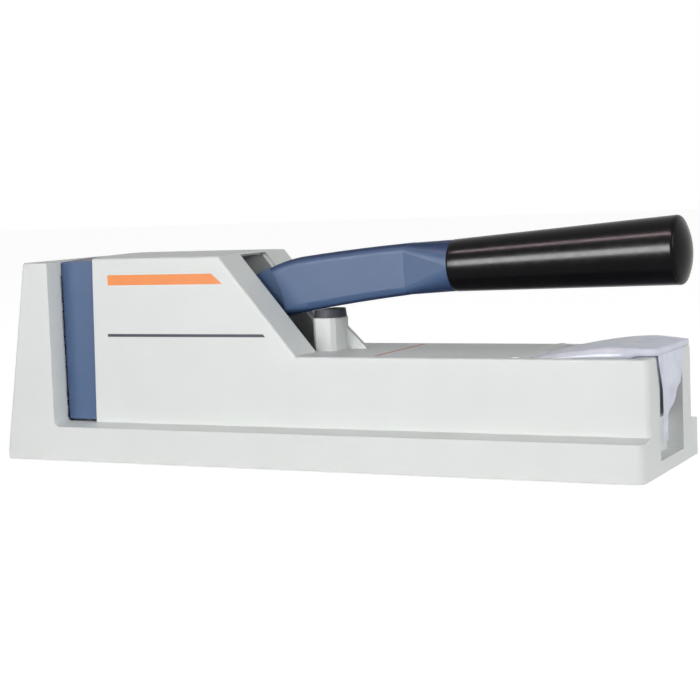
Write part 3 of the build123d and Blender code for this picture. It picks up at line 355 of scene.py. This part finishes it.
def side_print():
    """Orange stripe and dark rule on the tower's front face."""
    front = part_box("upper_housing")[0].y
    stripe_corners = [
        (STRIPE_X[0], STRIPE_Z[0]),
        (STRIPE_FOOT_X, STRIPE_Z[0]),
        (STRIPE_X[1], STRIPE_Z[1]),
        (STRIPE_X[0], STRIPE_Z[1]),
    ]
    slope = (RULE_Z[1] - RULE_Z[0]) * 0.8
    rule_corners = [
        (RULE_X[0], RULE_Z[0]),
        (RULE_X[1], RULE_Z[0]),
        (RULE_X[1] - slope, RULE_Z[1]),
        (RULE_X[0], RULE_Z[1]),
    ]
    stripe = strip("side_stripe", stripe_corners, front, plain("orange_ink", STRIPE, 0.35))
    rule = strip("side_rule", rule_corners, front, plain("dark_ink", RULE, 0.35))
    for piece in (stripe, rule):
        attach(piece, "stand")


def top_line():
    """Thin orange line across the low body's top."""
    top = LOW_TOP_Z * MM
    half = TOP_LINE_HALF * MM
    vertices = []
    for z in (top + PRINT_PROUD, top - PRINT_PROUD):
        for x, side in ((0, -1), (1, -1), (1, 1), (0, 1)):
            vertices.append((TOP_LINE_X[x] * MM, side * half, z))
    sides = [(i, (i + 1) % 4, (i + 1) % 4 + 4, i + 4) for i in range(4)]
    faces = [(0, 1, 2, 3), (7, 6, 5, 4)] + sides
    line = mesh_object("top_line", vertices, faces, plain("brown_ink", BROWN, 0.4), False)
    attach(line, "stand")


def grip_profile():
    """Radius along the grip's axis, from its start to the middle of the domed end."""
    start, end = GRIP_RADII
    dome_radius = (end**2 + GRIP_DOME**2) / (2 * GRIP_DOME)
    dome_centre = (GRIP_END_X - GRIP_START[0] - dome_radius) / math.cos(GRIP_TILT)
    length = dome_centre + dome_radius
    rim = length - GRIP_DOME
    steps = 24
    profile = [(0.6, 0.0), (0.0, start - 1.2), (0.0, start - 0.5), (0.35, start - 0.08)]
    profile += [(rim * n / steps + 0.8, start + (end - start) * n / steps) for n in range(steps)]
    half_angle = math.asin(end / dome_radius)
    cut = GRIP_EDGE / dome_radius
    side_end = (rim - GRIP_EDGE, end - (end - start) * GRIP_EDGE / rim)
    dome_start = half_angle - cut
    dome_point = (
        dome_centre + dome_radius * math.cos(dome_start),
        dome_radius * math.sin(dome_start),
    )
    corner = (rim, end)
    for n in range(7):
        t = n / 6
        a, b, c = (1 - t) ** 2, 2 * t * (1 - t), t**2
        profile.append(
            tuple(a * side_end[i] + b * corner[i] + c * dome_point[i] for i in (0, 1))
        )
    for n in range(1, 13):
        angle = dome_start * (1 - n / 12)
        profile.append(
            (dome_centre + dome_radius * math.cos(angle), dome_radius * math.sin(angle))
        )
    return profile


def grip(materials):
    """Smooth turned grip in place of the faceted CAD solid."""
    segments = 128
    profile = grip_profile()
    place = Matrix.Translation((GRIP_START[0] * MM, 0, GRIP_START[1] * MM))
    place = place @ Matrix.Rotation(-GRIP_TILT, 4, "Y")
    vertices = []
    rings = [point for point in profile if point[1] > 0.01]
    for along, radius in rings:
        for n in range(segments):
            angle = 2 * math.pi * n / segments
            point = Vector((along, radius * math.cos(angle), radius * math.sin(angle))) * MM
            vertices.append(place @ point)
    faces = []
    for ring in range(len(rings) - 1):
        for n in range(segments):
            after = (n + 1) % segments
            base = ring * segments
            faces.append((base + n, base + after, base + segments + after, base + segments + n))
    tip = len(vertices)
    vertices.append(place @ (Vector((profile[-1][0], 0, 0)) * MM))
    start = len(vertices)
    vertices.append(place @ (Vector((profile[0][0], 0, 0)) * MM))
    last = (len(rings) - 1) * segments
    faces += [(last + n, last + (n + 1) % segments, tip) for n in range(segments)]
    faces += [((n + 1) % segments, n, start) for n in range(segments)]
    piece = mesh_object("grip_shell", vertices, faces, materials["black_plastic"])
    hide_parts("grip")
    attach(piece, "lever")


def film_bag(rows, upper, lower, across=24):
    """Closed film form over a grid: upper and lower give a point for a row and -1 to 1 across it."""
    vertices = []
    for surface_point in (upper, lower):
        for along in rows:
            for n in range(across + 1):
                point = surface_point(along, 2 * n / across - 1)
                vertices.append(tuple(value * MM for value in point))
    row = across + 1
    layer = len(rows) * row
    faces = []
    for i in range(len(rows) - 1):
        for j in range(across):
            a = i * row + j
            b, c, d = a + 1, a + row + 1, a + row
            faces.append((a, d, c, b))
            faces.append((a + layer, b + layer, c + layer, d + layer))
    rim = list(range(row))
    rim += [i * row + across for i in range(1, len(rows))]
    rim += [(len(rows) - 1) * row + j for j in range(across - 1, -1, -1)]
    rim += [i * row for i in range(len(rows) - 2, 0, -1)]
    for n, a in enumerate(rim):
        b = rim[(n + 1) % len(rim)]
        faces.append((a, b, b + layer, a + layer))
    return vertices, faces


def wrinkle(x, v, seed):
    """Small film wrinkle, from -1 to 1, calm at the welded sides."""
    calm = 1 - v**4
    broad = noise.noise(Vector((x * 0.07, v * 2.6, seed)))
    fine = noise.noise(Vector((x * 0.24, v * 6.0, seed + 9.3)))
    return calm * (0.75 * broad + 0.25 * fine)


def flat_pouch(floor_z, pitch, start, reach, seed):
    """One pouch of the stack: thin welded rims round a slightly fuller middle."""

    def sheet(x, v, side):
        rim = min(x - start, reach - x, (1 - abs(v)) * POUCH_HALF)
        fullness = min(1.0, max(0.0, rim / POUCH_RIM)) ** 0.5
        thickness = FILM_THICKNESS + (POUCH_FILL * pitch - FILM_THICKNESS) * fullness
        z = floor_z + pitch / 2 + side * thickness / 2 + 0.11 * pitch * wrinkle(x, v, seed)
        return x, v * POUCH_HALF, z

    rows = [start + (reach - start) * n / 26 for n in range(27)]
    return film_bag(rows, lambda x, v: sheet(x, v, 1), lambda x, v: sheet(x, v, -1))


def pouch_stack(material):
    """Flat pouches lying on each other in the tray, each a little further out than the one below."""
    vertices = []
    faces = []
    low, high = STACK_Z
    pitch = (high - low) / STACK_COUNT
    for layer in range(STACK_COUNT):
        floor_z = low + pitch * layer
        reach = STACK_END_X - STACK_RAKE * (high - floor_z) / (high - low)
        start = STACK_START_X + 0.8 * (layer % 3)
        points, quads = flat_pouch(floor_z, pitch, start, reach, layer)
        first = len(vertices)
        vertices += points
        faces += [tuple(first + n for n in quad) for quad in quads]
    stack = mesh_object("film_stack", vertices, faces, material)
    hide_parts("pouch_stack")
    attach(stack, "stand")


def bag_top(x):
    """Height of the top pouch's upper sheet over its length."""
    if x < BAG_CREST[0]:
        t = (x - BAG_START[0]) / (BAG_CREST[0] - BAG_START[0])
        return BAG_START[1] + (BAG_CREST[1] - BAG_START[1]) * math.sin(t * math.pi / 2)
    t = (x - BAG_CREST[0]) / (BAG_END_X - BAG_CREST[0])
    return BAG_CREST[1] - BAG_END_DROP * t


def bag_underside(x):
    """Height of the top pouch's lower sheet: flat on the stack, then up over the end walls."""
    t = max(0.0, (x - BAG_CREST[0] - 0.5) / BAG_RISE_LENGTH)
    return BAG_UNDERSIDE_Z + BAG_UNDERSIDE_RISE * min(1.0, t)


def top_pouch(material):
    """Pouch that bulges out of the tray's mouth, with its lower sheet hanging over the end."""
    columns = [BAG_START[0] + (BAG_END_X - BAG_START[0]) * n / 44 for n in range(45)]

    def width(x):
        past_crest = max(0.0, (x - BAG_CREST[0]) / (BAG_END_X - BAG_CREST[0]))
        return POUCH_HALF * (1 - BAG_TAPER * past_crest**1.5)

    def top(x, v):
        ripple = 0.55 * wrinkle(x, v, 31.0)
        z = bag_top(x) - BAG_TOP_PLAY * v * v + ripple
        return x, v * width(x), min(z, BAG_CREST[1] + BAG_TOP_PLAY)

    def under(x, v):
        return x, v * width(x), min(bag_underside(x), top(x, v)[2] - 0.12)

    vertices, faces = film_bag(columns, top, under, 36)
    bag = mesh_object("film_bag", vertices, faces, material)
    tail = hanging_film(material)
    for piece in (bag, tail):
        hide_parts("top_pouch")
        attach(piece, "stand")


def tail_edge(z, side):
    """Place of the hanging film's near or far edge at a height."""
    for above, below in zip(TAIL_EDGES, TAIL_EDGES[1:]):
        if z >= below[0]:
            t = (above[0] - z) / (above[0] - below[0])
            return above[side] + (below[side] - above[side]) * t
    return TAIL_EDGES[-1][side]


def hanging_film(material):
    """Lower sheet of the top pouch: it hangs in front of the notch, narrows and ripples."""
    high, low = TAIL_EDGES[0][0], TAIL_EDGES[-1][0]
    rows = [high + (low - high) * n / 48 for n in range(49)]

    def sheet(z, v, offset):
        near = tail_edge(z, 1)
        y = near + (tail_edge(z, 2) - near) * (v + 1) / 2
        fold = 0.32 * math.sin(y * 0.42 + z * 0.06)
        fold += 0.16 * noise.noise(Vector((y * 0.2, z * 0.12, 5)))
        return TAIL_X + fold + offset, y, z

    def front(z, v):
        return sheet(z, v, 0.05)

    def back(z, v):
        return sheet(z, v, -0.05)

    vertices, faces = film_bag(rows, back, front, 24)
    return mesh_object("film_tail", vertices, faces, material)


def screw_recess_shade(material):
    """Dark cross inlays in the heads of the bottom plate's screws: painted shade in place of real
    cross recesses.
    """
    vertices = []
    faces = []
    depth = SCREW_FACE_Z
    for x, y in ((x, side * SCREW_Y) for x in SCREW_XS for side in (-1, 1)):
        for long_x, long_y in ((1.7, 0.35), (0.35, 1.7)):
            first = len(vertices)
            for z in (depth - 0.02, depth + 0.6):
                for dx, dy in ((-1, -1), (1, -1), (1, 1), (-1, 1)):
                    vertices.append(((x + dx * long_x) * MM, (y + dy * long_y) * MM, z * MM))
            sides = [(i, (i + 1) % 4, (i + 1) % 4 + 4, i + 4) for i in range(4)]
            quads = [(3, 2, 1, 0), (4, 5, 6, 7)] + sides
            faces += [tuple(first + n for n in quad) for quad in quads]
    # Painted shade: dark crosses stand in for the shaded cross recesses
    crosses = mesh_object("screw_recess_shade", vertices, faces, material, False)
    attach(crosses, "stand")


def camera():
    """Camera at the photograph's place."""
    along = Vector(
        (
            -math.sin(CAMERA_YAW) * math.cos(CAMERA_PITCH),
            math.cos(CAMERA_YAW) * math.cos(CAMERA_PITCH),
            -math.sin(CAMERA_PITCH),
        )
    )
    right = along.cross(Vector((0, 0, 1))).normalized()
    up = right.cross(along)
    turned_right = right * math.cos(CAMERA_ROLL) + up * math.sin(CAMERA_ROLL)
    turned_up = up * math.cos(CAMERA_ROLL) - right * math.sin(CAMERA_ROLL)
    data = bpy.data.cameras.new("camera")
    data.lens = CAMERA_LENS
    data.sensor_width = CAMERA_SENSOR
    data.clip_start = 0.01
    item = bpy.data.objects.new("camera", data)
    axes = Matrix((turned_right, turned_up, -along)).transposed()
    item.matrix_world = Matrix.Translation(CAMERA_PLACE) @ axes.to_4x4()
    bpy.context.scene.collection.objects.link(item)
    bpy.context.scene.camera = item


def lamp(name, place, target, size, power, colour=WHITE, only_gloss=False):
    """Soft rectangular lamp that faces a point, or only a reflection of one."""
    data = bpy.data.lights.new(name, "AREA")
    data.shape = "RECTANGLE"
    data.size, data.size_y = size
    data.energy = power
    data.color = colour
    item = bpy.data.objects.new(name, data)
    item.location = place
    direction = Vector(target) - Vector(place)
    item.rotation_euler = direction.to_track_quat("-Z", "Y").to_euler()
    item.visible_diffuse = not only_gloss
    bpy.context.scene.collection.objects.link(item)


def seen_white(tree):
    """Field that is 1 for camera, mirror and glass rays and 0 for all others."""
    ray = add(tree, "ShaderNodeLightPath")
    total = ray.outputs["Is Camera Ray"]
    for kind in ("Is Glossy Ray", "Is Transmission Ray"):
        larger = add(tree, "ShaderNodeMath", operation="MAXIMUM")
        tree.links.new(total, larger.inputs[0])
        tree.links.new(ray.outputs[kind], larger.inputs[1])
        total = larger.outputs[0]
    return total


def surroundings():
    """White surroundings that light the object less than they show."""
    world = bpy.data.worlds.new("studio")
    bpy.context.scene.world = world
    world.use_nodes = True
    tree = world.node_tree
    background = tree.nodes["Background"]
    background.inputs["Color"].default_value = (1, 1, 1, 1)
    strength = add(tree, "ShaderNodeMix", data_type="FLOAT")
    strength.inputs["A"].default_value = WORLD_LIGHT
    strength.inputs["B"].default_value = 1.0
    tree.links.new(seen_white(tree), strength.inputs["Factor"])
    tree.links.new(strength.outputs["Result"], background.inputs["Strength"])


def floor():
    """Plain white floor that keeps the object's shadow."""
    material, tree, shader = new_material("floor")
    shader.inputs["Base Color"].default_value = (0.86, 0.86, 0.86, 1)
    shader.inputs["Roughness"].default_value = 0.9
    glow = add(tree, "ShaderNodeEmission", Strength=FLOOR_WHITE / FLOOR_SHARE)
    part = add(tree, "ShaderNodeMath", operation="MULTIPLY")
    part.inputs[1].default_value = FLOOR_SHARE
    mix = add(tree, "ShaderNodeMixShader")
    tree.links.new(seen_white(tree), part.inputs[0])
    tree.links.new(part.outputs[0], mix.inputs[0])
    tree.links.new(shader.outputs[0], mix.inputs[1])
    tree.links.new(glow.outputs[0], mix.inputs[2])
    tree.links.new(mix.outputs[0], tree.nodes["Material Output"].inputs["Surface"])
    reach = 6.0
    corners = [(-reach, -reach, 0), (reach, -reach, 0), (reach, reach, 0), (-reach, reach, 0)]
    mesh_object("floor", corners, [(0, 1, 2, 3)], material, False)


def studio():
    """Floor, surroundings, two soft lamps and two that only show on glossy pieces."""
    surroundings()
    floor()
    lamp("key", (-0.55, -1.70, 0.34), (0.0, 0.0, 0.06), (1.3, 0.5), KEY_LIGHT)
    lamp("strip", (-0.10, -0.85, 1.45), (0.05, 0.0, 0.08), (1.6, 0.13), STRIP_LIGHT, PINK, True)
    lamp("band", (-0.40, -1.65, 0.37), (0.1, 0.0, 0.09), (1.2, 0.56), BAND_LIGHT, WHITE, True)
    lamp("fill", (1.40, -0.35, 0.66), (0.05, 0.0, 0.06), (0.9, 0.7), FILL_LIGHT)


def main():
    materials = make_materials()
    dress_cad(materials)
    side_print()
    top_line()
    grip(materials)
    pouch_stack(materials["clear_film"])
    top_pouch(materials["clear_film"])
    screw_recess_shade(materials["foot_rubber"])
    camera()
    studio()
    scene = bpy.context.scene
    scene.view_settings.view_transform = "Standard"


main()
